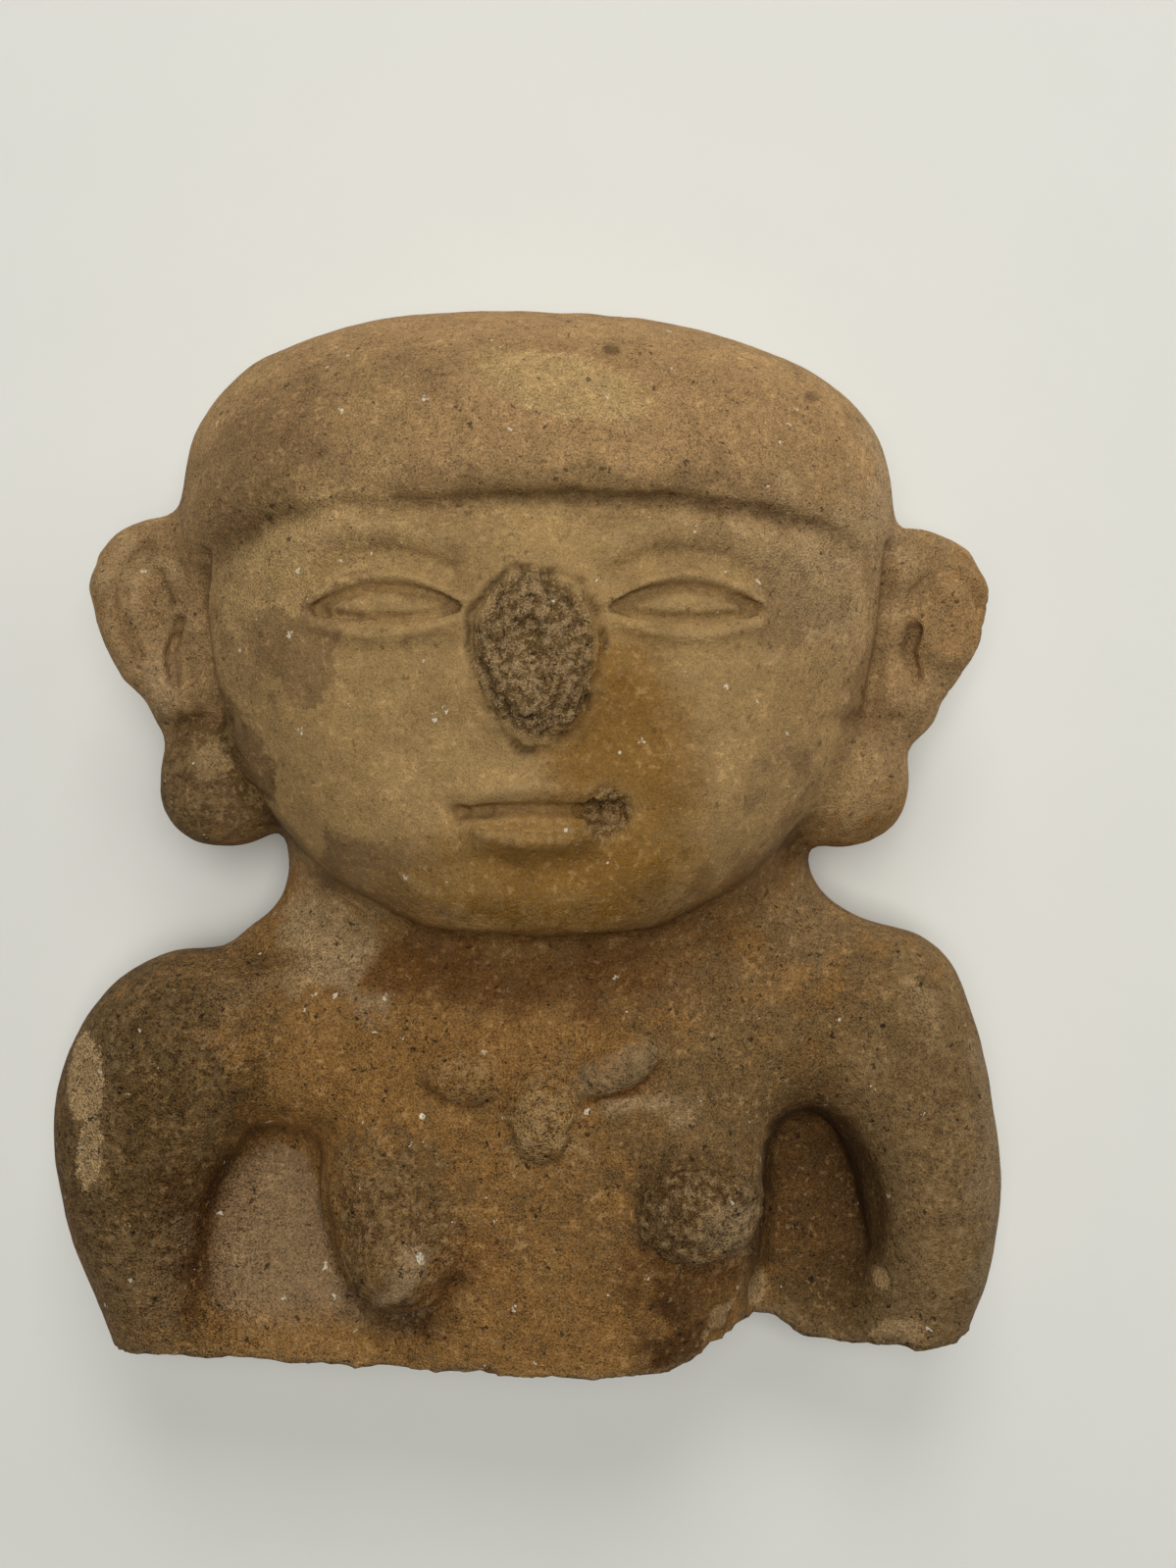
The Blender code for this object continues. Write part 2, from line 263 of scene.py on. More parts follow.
# %% The ends of the right hollow
HOLLOW_ROUNDS = 60
runs_out = oval(31.8, 5.5, 5.0, 6.5, 0, edge=0.4)
upper_end = oval(29.4, 20.8, 7.4, 5.8, 0, edge=0.5)
smooth(np.maximum(runs_out, upper_end), HOLLOW_ROUNDS)
print("rounded off", int((runs_out + upper_end > 0.5).sum()), "points")

# %% Smoothed by hand
UNEVEN, FINE_UNEVEN = 0.16, 0.05
push(UNEVEN * clouds(7.5, 2) + FINE_UNEVEN * clouds(2.2, 2, 5.0))
print("the hand-smoothed surface is uneven by about", round(UNEVEN * SHARE * 1000, 2), "mm")

# %% [markdown]
# ## The face and the cap
# The face is a plain one on the usual proportions: the eyes at half the height of the head, which
# is five eyes wide. It was tooled while the clay was wet, so each mark has a small soft bank. Two
# tables list the marks of an eye and of the mouth: how far up each lies, how wide it is, how much
# it is bowed, how far it reaches and how high it rises. The rim of the cap is a low roll with a
# groove under it. The groove is weak on the left and filled with clay near the ears.

# %% Eyes, brows and mouth
CROWN, CHIN, MIDLINE, HEAD_HALF_WIDTH = 100.0, 41.0, 1.2, 33.4
EYE_LINE = (CROWN + CHIN) / 2
EYE_WIDTH = 2 * HEAD_HALF_WIDTH / 5
BROW_LINE = EYE_LINE + 0.42 * EYE_WIDTH
NOSE_BASE = (BROW_LINE + CHIN) / 2
MOUTH_LINE = NOSE_BASE - 0.36 * (NOSE_BASE - CHIN)
EYE_MARKS = [
    (0.0, 0.5, 0.3, 1.5, 0.7), (0.6, 1.0, 2.3, 0.5, 0.6), (-0.1, 0.95, 1.8, 0.42, -1.1),
    (-0.2, 0.92, -0.7, 0.36, -0.9), (-1.0, 1.0, -1.5, 0.55, 0.5), (3.2, 0.95, 1.8, 0.6, -0.35),
]
MOUTH_MARKS = [
    (0.2, 7.0, 0.4, 0.5, -1.3), (1.7, 5.6, 0.7, 0.8, 0.5),
    (-1.3, 4.8, -1.0, 0.8, 0.5), (-3.6, 4.2, -0.7, 0.9, -0.4),
]
for side in (-1, 1):
    eye = MIDLINE + side * EYE_WIDTH
    for up, wide, bow, reach, rise in EYE_MARKS:
        stroke(arc(eye, EYE_LINE + up, EYE_WIDTH / 2 * wide, bow), reach, rise)
    stroke(arc(eye + side, BROW_LINE, EYE_WIDTH * 0.6, 1.6), 1.2, 0.4)
for up, half_width, bow, reach, rise in MOUTH_MARKS:
    stroke(arc(MIDLINE, MOUTH_LINE + up, half_width, bow), reach, rise)
print("eyes at", EYE_LINE, "and mouth at", round(MOUTH_LINE, 1))

# %% The rim of the cap
CAP_RIM_AT_BACK, CAP_RIM_SLOPE = 66.4, 0.36
GROOVE_DEPTH, FILLING = 0.65, 0.75
above_rim = places[:, 1] - CAP_RIM_AT_BACK - CAP_RIM_SLOPE * places[:, 2]
above_rim = above_rim + 0.35 * clouds(3.5, 2, 9.0, (abs(above_rim) < 5).astype(float))
near_ears = step(abs(places[:, 0] - MIDLINE), HEAD_HALF_WIDTH - 10, HEAD_HALF_WIDTH - 2) * facing_up()
sharp = 0.35 + 0.65 * step(places[:, 0], -16, 2)
groove = -GROOVE_DEPTH * np.exp(-(((above_rim + 0.6) / 0.5) ** 2)) * sharp * (1 - near_ears)
filled = FILLING * np.exp(-(((above_rim + 1.1) / 1.5) ** 2)) * near_ears
push(groove + filled)
rim_line = np.exp(-(((above_rim + 0.6) / 0.6) ** 2)) * sharp * (1 - near_ears) * facing_up()
print("groove under the cap", round(GROOVE_DEPTH * SHARE * 1000, 2), "mm deep")

# %% [markdown]
# ## What was broken
# The nose broke off and left a rough stump inside a ring of cracks, a flake is gone from a corner
# of the mouth, and the whole lower end is a jagged break. The inside of the clay shows there, so
# these parts get lumps and pits, and the strength of the damage is kept as a number on each
# point, for the colours to follow.

# %% The stump of the nose
STUMP_HALF_WIDTH, STUMP_HALF_HEIGHT = 5.2, 7.4
RING_HALF_WIDTH, RING_HALF_HEIGHT = 5.8, 8.0
CRACK_REACH, CRACK_DEPTH = 0.34, 0.9
nose_middle = (BROW_LINE + NOSE_BASE) / 2 - 1
broken = oval(MIDLINE, nose_middle, STUMP_HALF_WIDTH, STUMP_HALF_HEIGHT, 4, edge=0.06, ragged=0.1)
lumps = clouds(1.9, 3, 3.0, broken)
ledges = np.clip(clouds(2.6, 3, 6.0, broken) * 4, -0.5, 0.5)
pits = np.clip(clouds(0.8, 2, 11.0, broken) - 0.12, 0, 1)
push(broken * (0.42 * lumps + 0.6 * ledges - 1.2 * pits - 0.35))
angle = np.linspace(0.5, 2 * math.pi + 0.5, 61)
waver = 1 + 0.05 * np.sin(3 * angle) + 0.03 * np.sin(7 * angle + 1) + 0.02 * np.sin(17 * angle)
ring_across = MIDLINE + RING_HALF_WIDTH * waver * np.cos(angle)
ring_along = nose_middle + RING_HALF_HEIGHT * waver * np.sin(angle)
ring = np.column_stack([ring_across, ring_along])
gaps = step(clouds(2.4, 3, 4.4, (distance_to(ring) < 1.5).astype(float)), -0.15, 0.12)
stroke(ring, CRACK_REACH, -CRACK_DEPTH, 0.35 + 0.65 * gaps)
flakes = oval(MIDLINE, nose_middle, 7.4, 9.4, 4, edge=0.1, ragged=0.5) * (1 - broken)
push(flakes * 0.22 * clouds(1.1, 3, 14.0, flakes))
cracks_and_rim_shade = np.exp(-((distance_to(ring) / CRACK_REACH) ** 2)) * facing_up() * (0.35 + 0.65 * gaps)
# The groove under the rim of the cap joins the cracks as painted shade.
cracks_and_rim_shade = np.maximum(cracks_and_rim_shade, 0.55 * rim_line)
print("stump", round(2 * STUMP_HALF_WIDTH * SHARE * 1000, 1), "mm wide")

# %% The corner of the mouth
FLAKE_HALF_WIDTH, FLAKE_HALF_HEIGHT = 2.0, 2.6
corner, corner_line = MIDLINE + 6.4, MOUTH_LINE + 0.2
flake = oval(corner, corner_line, FLAKE_HALF_WIDTH, FLAKE_HALF_HEIGHT, -15, edge=0.15, ragged=0.25)
push(flake * (0.4 * clouds(0.8, 3, 2.0, flake) - 0.5))
broken = np.maximum(broken, 0.7 * flake)
print("flake", round(2 * FLAKE_HALF_WIDTH * SHARE * 1000, 1), "mm wide")

# %% The jagged lower end
BREAK_LUMPS, BREAK_CRUMBS, END_PITS = 0.24, 0.14, 0.10
low_end = step(-normals[:, 1], 0.3, 0.65) * step(places[:, 1], foot + 8, foot + 5)
break_lumps, break_crumbs = clouds(3.0, 4, 1.0, low_end), clouds(0.9, 3, 4.0, low_end)
push(low_end * (BREAK_LUMPS * break_lumps + BREAK_CRUMBS * break_crumbs))
pitted = step(clouds(1.2, 3, 6.0), 0.1, 0.4)
push(-END_PITS * (step(places[:, 1], foot + 7.5, foot + 2.0) * (1 - low_end) * pitted))
broken = np.maximum(broken, low_end)
print("break roughened by", round(BREAK_LUMPS * SHARE * 1000, 2), "mm")

# %% [markdown]
# ## Ears, beads and breasts
# These were small pellets, pressed on and hardly smoothed. A soft line runs under each, where it
# meets the chest, and their surface is coarser than the rest, some more and some less.

# %% The ears
push(0.5 * oval(39.6, 70.0, 2.9, 3.9, 12, edge=0.25))
EAR_MARKS = [
    ([(-29.6, 76.0), (-30.4, 71.0), (-29.8, 66.0), (-29.0, 61.6)], 0.7, -1.0),
    ([(-35.4, 77.4), (-37.6, 75.0), (-38.2, 71.0), (-36.4, 67.0)], 0.6, -0.9),
    ([(-36.0, 79.2), (-39.8, 76.4), (-40.4, 71.0), (-37.4, 65.4)], 0.9, 0.4),
    ([(-32.8, 70.2), (-33.6, 67.4), (-33.2, 64.6)], 0.42, -1.5),
    ([(-34.6, 74.6), (-33.8, 72.2)], 0.7, -0.6),
    ([(-34.0, 60.4), (-30.8, 61.0), (-27.6, 60.6)], 0.7, -0.6),
    ([(34.4, 77.0), (34.0, 72.0), (33.4, 67.0), (32.4, 61.8)], 0.7, -1.0),
    ([(36.4, 73.0), (38.4, 75.0), (41.4, 74.6), (43.0, 71.6), (42.4, 68.0)], 0.45, -0.6),
    ([(36.6, 79.0), (41.4, 76.6), (43.4, 71.4), (42.4, 66.8), (39.6, 63.6)], 0.8, 0.35),
    ([(36.5, 69.6), (36.0, 67.4), (36.8, 65.0)], 0.5, -1.5),
    ([(27.6, 60.6), (31.0, 61.0), (34.6, 61.0)], 0.7, -0.5),
]
for line, reach, rise in EAR_MARKS:
    stroke(line, reach, rise)
print(len(EAR_MARKS), "marks in the ears")

# %% Beads
BEADS = [
    (-5.4, 27.6, 3.9, 2.4, -8, 0.45), (1.5, 24.2, 3.3, 4.6, -4, 0.85), (9.0, 28.6, 4.2, 2.4, 32, 0.15),
]
UNDER_BEADS = [
    [(-9.6, 26.6), (-7.6, 25.5), (-5.0, 24.9), (-2.2, 25.8)],
    [(-1.7, 23.4), (-0.9, 20.8), (1.4, 19.4), (3.9, 20.8), (4.6, 23.4)],
    [(5.8, 25.6), (8.4, 25.9), (10.6, 26.8), (12.4, 28.6)],
]
coarse = np.zeros(len(places))
raised = np.zeros(len(places))
for (*bead, coarseness), under in zip(BEADS, UNDER_BEADS):
    patch = oval(*bead, edge=0.4, ragged=0.2)
    raised = np.maximum(raised, patch)
    coarse = np.maximum(coarse, coarseness * patch)
    stroke(under, 0.7, -0.6)
push(0.4 * raised + 0.3 * coarse * clouds(1.3, 3, 7.0, coarse))
stroke([(8.6, 24.4), (11.0, 24.9), (13.6, 25.6)], 0.9, 0.35)
print(len(BEADS), "beads")

# %% Breasts
CRUST_LUMPS, CRUST_CRUMBS = 0.6, 0.1
left_breast = oval(-12.4, 12.5, 6.4, 8.4, 8, edge=0.4, ragged=0.3)
right_breast = oval(16.0, 14.6, 5.7, 4.9, 0, edge=0.16, ragged=0.3)
stroke([(-16.4, 7.0), (-13.6, 5.0), (-10.4, 4.9), (-8.0, 6.4), (-6.4, 9.0)], 0.9, -1.1)
lump = oval(-11.9, 10.1, 2.5, 2.4, 0, edge=0.35)
push(0.5 * left_breast + 0.55 * lump)
stroke([(10.8, 12.4), (12.8, 10.8), (16.0, 9.8), (19.4, 11.0), (21.4, 13.0)], 0.7, -1.1)
crust = np.maximum(0.6 * left_breast * (1 - 0.8 * lump), right_breast)
crust_lumps, crust_crumbs = clouds(2.4, 4, 8.0, crust), clouds(0.9, 2, 2.5, crust)
push(0.7 * right_breast + crust * (CRUST_LUMPS * crust_lumps + CRUST_CRUMBS * crust_crumbs))
coarse = np.maximum(coarse, crust)
print("crust on the breasts", round(CRUST_LUMPS * SHARE * 1000, 2), "mm high")

# %% The hollows under the arms
HOLLOW_MARKS = [
    ([(-19.9, 17.0), (-19.0, 12.0), (-17.6, 8.6), (-14.0, 5.0), (-9.5, 4.4)], 0.9, -0.35),
    ([(-29.5, 15.5), (-27.5, 19.6), (-24.6, 20.8), (-21.6, 18.4)], 1.2, -0.3),
    ([(22.6, 21.8), (23.4, 19.6), (23.3, 14.0), (22.6, 9.0)], 0.7, 0.3),
    ([(29.6, 21.6), (31.6, 18.6), (32.8, 14.4), (32.4, 10.4)], 1.2, -0.8),
    ([(22.4, 22.0), (24.6, 22.6), (27.6, 23.4), (31.0, 22.8)], 0.5, -0.2),
    ([(23.0, 20.6), (23.9, 19.0)], 0.4, -0.6),
]
for line, reach, rise in HOLLOW_MARKS:
    stroke(line, reach, rise)
print(len(HOLLOW_MARKS), "marks in the hollows")

# %% [markdown]
# ## Chips and scratches
# Small flakes of the dark skin came off and show paler clay. Each chip is a shallow step down
# with a ragged edge. Scratches are fine strokes, and a few broader ones swirl over the cap.

# %% Chips
CHIPS = [
    (-40.6, 26.6, 1.7, 4.0, 6, 0.30), (-40.8, 20.6, 1.6, 3.4, -4, 0.30), (22.1, 6.1, 1.0, 1.6, -8, 0.22),
    (33.7, 8.0, 0.7, 1.0, 0, 0.22), (35.2, 2.8, 2.6, 1.8, 25, 0.20), (37.4, 34.4, 1.0, 2.6, 28, 0.18),
    (-34.5, 8.2, 0.9, 2.6, 30, 0.15), (-32.6, 12.6, 0.8, 2.0, 10, 0.15), (38.6, 9.4, 0.6, 1.6, -20, 0.15),
    (-37.5, 75.4, 1.8, 3.4, -8, 0.16), (13.6, 44.6, 1.8, 1.0, 30, 0.14), (-26.2, 35.8, 3.2, 0.9, 20, 0.14),
]
chipped = np.zeros(len(places))
for across, along, half_across, half_along, turn, depth in CHIPS:
    chip = oval(across, along, half_across, half_along, turn, edge=0.12, ragged=0.45)
    push(-depth * chip)
    chipped = np.maximum(chipped, chip)
push(chipped * 0.1 * clouds(0.8, 2, 1.5, chipped))
print(len(CHIPS), "chips")

# %% Scratches
SCRATCHES = [
    [(-22, 80.6), (-14, 83.4)],
    [(12, 61), (17, 59.6)], [(12.6, 59.6), (17.4, 58.2)], [(13, 58.2), (17, 56.6)],
    [(-7, 36.4), (6, 34.9), (13, 36)], [(-4, 34.4), (9, 33.2)], [(14, 8.5), (18, 1.5)],
    [(41.5, 30), (43.6, 18)], [(40.2, 12), (41.6, 4)], [(25, 60), (30.5, 71)], [(-25, 61), (-20, 52)],
]
CAP_SWIRL = [
    [(-5.0, 92.8), (-1.5, 94.0), (3.0, 94.4), (8.6, 93.2)],
    [(-4.4, 92.2), (1.0, 91.6), (6.0, 91.9), (10.0, 92.8)],
    [(-3.6, 91.0), (1.0, 89.4), (6.4, 89.0), (11.6, 90.2)],
]
for line in SCRATCHES:
    stroke(line, 0.28, -0.12)
for line in CAP_SWIRL:
    stroke(line, 0.55, -0.3)
print(len(SCRATCHES), "scratches and a swirl of", len(CAP_SWIRL))

# %% [markdown]
# ## Where dirt and painted shade settle and where hands rub
# Dirt and painted shade darken the hollows, and the raised parts wear. Both come from the form itself:
# each point is compared with the average of the points around it, and a point that lies deeper than its
# surroundings is a hollow. Other numbers say where the slip is worn, where the clay is gritty and
# where a flank is steep, which the material makes paler as painted light from the table. All are stored on
# the mesh for the material to read.

# %% Masks for the hollows under the arms
LEFT_RECESS = [
    (-30.0, 7.0), (-29.6, 14.5), (-28.2, 18.2), (-24.6, 20.4), (-21.4, 19.2), (-19.9, 16.3), (-18.9, 12.5),
    (-17.9, 8.9), (-16.5, 6.8), (-14.4, 5.0), (-12.5, 3.6), (-17.0, 2.6), (-23.0, 3.2), (-28.0, 4.4),
]


def inside(outline):
    """1 within this outline in the front view, where a line out crosses it an odd number of times."""
    crossings = np.zeros(len(places), int)
    x, y = places[:, 0], places[:, 1]
    for (x0, y0), (x1, y1) in zip(outline, outline[1:] + outline[:1]):
        beside = (y0 > y) != (y1 > y)
        crossings += beside & (x < x0 + (y - y0) * (x1 - x0) / (y1 - y0 + 1e-9))
    return (crossings % 2) * (normals[:, 2] > 0.1)


left_recess = inside(LEFT_RECESS) * step(-places[:, 2], -28.5, -26.0) * step(places[:, 1], 2.5, 7.0)
right_hollow = oval(28.0, 10.0, 9.0, 15.0) * step(-places[:, 2], -25.5, -20.0)
right_hollow = right_hollow * step(places[:, 1], 2, 14)
print("floor of the left recess has", int(left_recess.sum()), "points")

# %% Hollows and crests
SMALL_HOLLOW, LARGE_HOLLOW, SMALL_CREST = 0.09, 0.7, 0.08
edges = np.empty(len(mesh.edges) * 2, np.int32)
mesh.edges.foreach_get("vertices", edges)
edges = edges.reshape(-1, 2)
links = np.bincount(edges.ravel(), minlength=len(places))


def averaged(values, rounds):
    """Each point's number, mixed with its neighbours' this many times."""
    for _ in range(rounds):
        total = np.bincount(edges[:, 0], values[edges[:, 1]], len(values))
        total += np.bincount(edges[:, 1], values[edges[:, 0]], len(values))
        values = 0.3 * values + 0.7 * total / links
    return values


def depth_of_hollow(rounds):
    """How deep each point lies below the average of its surroundings, in shares."""
    around = np.column_stack([averaged(places[:, axis], rounds) for axis in range(3)])
    return ((around - places) * normals).sum(axis=1)


def store(name, values):
    """Keeps one number from 0 to 1 for each point under this name."""
    made = mesh.attributes.new(name, "FLOAT", "POINT")
    made.data.foreach_set("value", np.clip(values, 0, 1).astype(np.float32))


small, large = depth_of_hollow(5), depth_of_hollow(60)
# Painted light: the steep flanks are marked so that the material makes them paler, standing in for light
# bounced from the table.
painted_bounce_flank = step(-normals[:, 2], -0.88, -0.3) * (1 - right_hollow) * (1 - step(large, 0.15, 0.6))
worn = oval(MIDLINE, 60, 31, 21, edge=0.2) * (1 - 0.9 * oval(4, 60, 16, 20, edge=0.5))
worn = np.maximum(worn, 0.6 * oval(-18, 89, 13, 7, -10, edge=0.4)) * facing_up()
on_face = oval(MIDLINE, 58, 27, 22, edge=0.25) * facing_up()
on_head = step(places[:, 1], CHIN + 1, CHIN + 5)
left_arm = step(-places[:, 0], 22, 30) * (1 - on_head)
grit_of_place = 0.62 - 0.14 * on_head - 0.22 * on_face + 0.38 * left_arm
grit_of_place = np.clip(grit_of_place + 0.4 * coarse + 0.5 * broken - 0.1 * left_recess, 0, 1)
small_hollow, large_hollow = np.clip(small / SMALL_HOLLOW, 0, 1), np.clip(large / LARGE_HOLLOW, 0, 1)
store("hollow", averaged(small_hollow * 0.5 + large_hollow * 0.7, 2))
store("crest", averaged(np.clip(-small / SMALL_CREST, 0, 1), 1))
store("broken", averaged(broken, 1))
store("cracks_and_rim_shade", cracks_and_rim_shade)
store("grit", averaged(grit_of_place, 2))
store("painted_bounce_flank", averaged(painted_bounce_flank, 3))
store("worn", averaged(worn, 3))
store("left_recess", averaged(left_recess, 2))
store("right_hollow", averaged(right_hollow, 2))
store("chipped", averaged(chipped, 1))
store("coarse", averaged(coarse, 2))
print("hollows up to", round(small.max() * SHARE * 1000, 2), "mm deep")

# %% [markdown]
# ## The finish
# All colours are those of one clay. It fired orange-brown, turned grey-brown where the smoke of
# the fire reached it, and was rubbed with a buff slip that is left on the face. The material
# paints them one over another, each with a mask that says where it is. Some of the colours are also
# painted shade and painted light.

# %% Small helpers for nodes


def add(tree, kind, **settings):
    """A new node of this kind with these settings."""
    made = tree.nodes.new("ShaderNode" + kind)
    for name, value in settings.items():
        setattr(made, name, value)
    return made


def feed(tree, socket, value):
    """Joins a socket to a node's output, or sets it to a plain value."""
    if isinstance(value, bpy.types.NodeSocket):
        tree.links.new(value, socket)
    else:
        socket.default_value = value


def calc(tree, operation, *values):
    """The result of one sum."""
    made = add(tree, "Math", operation=operation)
    for socket, value in zip(made.inputs, values):
        feed(tree, socket, value)
    return made.outputs[0]


def ramp(tree, value, start, end, low=0.0, high=1.0):
    """A smooth change from low to high while the value goes from start to end."""
    made = add(tree, "MapRange", interpolation_type="SMOOTHSTEP")
    for socket, given in zip(made.inputs, (value, start, end, low, high)):
        feed(tree, socket, given)
    return made.outputs[0]


def layer(tree, under, over, mask):
    """One colour laid over another, as much as the mask says."""
    made = add(tree, "Mix", data_type="RGBA")
    feed(tree, made.inputs[0], mask)
    feed(tree, made.inputs[6], under)
    feed(tree, made.inputs[7], over)
    return made.outputs[2]


def cloudy(tree, where, scale, detail=3.0, rough=0.5, colour=False):
    """Soft noise from 0 to 1, or as a colour of three such numbers."""
    made = add(tree, "TexNoise")
    feed(tree, made.inputs["Vector"], where)
    made.inputs["Scale"].default_value = scale
    made.inputs["Detail"].default_value = detail
    made.inputs["Roughness"].default_value = rough
    return made.outputs["Color" if colour else "Fac"]


def new_group(name, inputs, outputs):
    """An empty node group with these sockets, and its input and output nodes."""
    group = bpy.data.node_groups.new(name, "ShaderNodeTree")
    for way, sockets in (("INPUT", inputs), ("OUTPUT", outputs)):
        for label, kind in sockets:
            group.interface.new_socket(label, in_out=way, socket_type="NodeSocket" + kind)
    return group, group.nodes.new("NodeGroupInput"), group.nodes.new("NodeGroupOutput")


print("node helpers ready")

# %% A group for a patch of colour
patch_group, given, out = new_group(
    "patch",
    [("Place", "Vector"), ("Grain", "Float"), ("Centre", "Vector"), ("Half sizes", "Vector"),
     ("Turn", "Float"), ("Softness", "Float"), ("Fray", "Float"), ("Strength", "Float")],
    [("Mask", "Float")],
)
away = add(patch_group, "VectorMath", operation="SUBTRACT")
feed(patch_group, away.inputs[0], given.outputs["Place"])
feed(patch_group, away.inputs[1], given.outputs["Centre"])
turned = add(patch_group, "VectorRotate", rotation_type="Z_AXIS")
feed(patch_group, turned.inputs["Vector"], away.outputs[0])
feed(patch_group, turned.inputs["Angle"], given.outputs["Turn"])
sized = add(patch_group, "VectorMath", operation="DIVIDE")
feed(patch_group, sized.inputs[0], turned.outputs[0])
feed(patch_group, sized.inputs[1], given.outputs["Half sizes"])
far = add(patch_group, "VectorMath", operation="LENGTH")
feed(patch_group, far.inputs[0], sized.outputs[0])
grain = calc(patch_group, "SUBTRACT", given.outputs["Grain"], 0.5)
frayed = calc(patch_group, "MULTIPLY_ADD", grain, given.outputs["Fray"], far.outputs["Value"])
inner = calc(patch_group, "SUBTRACT", 1.0, given.outputs["Softness"])
outer = calc(patch_group, "ADD", 1.0, given.outputs["Softness"])
mask = ramp(patch_group, frayed, inner, outer, 1.0, 0.0)
feed(patch_group, out.inputs["Mask"], calc(patch_group, "MULTIPLY", mask, given.outputs["Strength"]))
print("patch group has", len(patch_group.nodes), "nodes")

# %% A group for grains of sand
sand_group, given, out = new_group(
    "sand",
    [("Place", "Vector"), ("Spacing", "Float"), ("Size", "Float"),
     ("Dark share", "Float"), ("Light share", "Float")],
    [("Dark", "Float"), ("Light", "Float")],
)
cells = add(sand_group, "TexVoronoi", feature="F1")
feed(sand_group, cells.inputs["Vector"], given.outputs["Place"])
feed(sand_group, cells.inputs["Scale"], calc(sand_group, "DIVIDE", 1.0, given.outputs["Spacing"]))
parts = add(sand_group, "SeparateColor")
feed(sand_group, parts.inputs[0], cells.outputs["Color"])
dark = calc(sand_group, "LESS_THAN", parts.outputs[0], given.outputs["Dark share"])
rest_of_one = calc(sand_group, "SUBTRACT", 1.0, parts.outputs[0])
light = calc(sand_group, "LESS_THAN", rest_of_one, given.outputs["Light share"])
size = calc(sand_group, "MULTIPLY_ADD", parts.outputs[1], given.outputs["Size"], 0.05)
middle_of_grain = calc(sand_group, "MULTIPLY", size, 0.6)
inside_grain = ramp(sand_group, cells.outputs["Distance"], middle_of_grain, size, 1.0, 0.0)
feed(sand_group, out.inputs["Dark"], calc(sand_group, "MULTIPLY", inside_grain, dark))
feed(sand_group, out.inputs["Light"], calc(sand_group, "MULTIPLY", inside_grain, light))
print("sand group has", len(sand_group.nodes), "nodes")

# %% [markdown]
# ## Colours of the clay
# Each colour is given the way a screen shows it, from 0 to 255, and is turned into the light that
# the clay reflects. Soft stains are painted on the points of the mesh, and so are painted shadows
# under the chin, the rim of the cap, the breasts, the right bead and the right ornament. Crisp
# patches are laid over them in the material. Tables list both: the colour, the place and half sizes
# in shares, the turn in degrees, how soft and how frayed the edge is, and how strong the colour.

# %% Palette
LIGHT_ON_TABLE = 0.86


def clay_colour(*screen):
    """The share of light that clay reflects to show this colour on a screen."""
    red, green, blue = (((v / 255 + 0.055) / 1.055) ** 2.4 / LIGHT_ON_TABLE for v in screen)
    return (red, green, blue, 1.0)


PALETTE = {
    "chest": clay_colour(125, 90, 45), "head": clay_colour(134, 106, 69),
    "cap": clay_colour(143, 112, 73), "warm cap": clay_colour(153, 120, 78),
    "buff": clay_colour(167, 138, 90), "slip": clay_colour(148, 119, 74),
    "ochre": clay_colour(116, 81, 26), "brown": clay_colour(112, 86, 54),
    "umber": clay_colour(96, 72, 40), "smoke": clay_colour(76, 55, 24),
    "soot_and_painted_shade": clay_colour(52, 34, 14), "olive": clay_colour(101, 79, 47),
    "grey": clay_colour(112, 92, 64), "pale": clay_colour(146, 121, 88),
    "floor": clay_colour(124, 99, 68), "dark": clay_colour(62, 35, 0),
    # The painted shadow red stands for the red-brown shade under the chin, the breasts, the right bead and
    # the right ornament.
    "rust": clay_colour(98, 63, 24), "orange": clay_colour(146, 110, 66),
    "tan": clay_colour(158, 130, 90), "core": clay_colour(140, 115, 80),
    "speck": clay_colour(56, 38, 18), "white": clay_colour(206, 196, 172),
}
print(len(PALETTE), "colours of one clay")
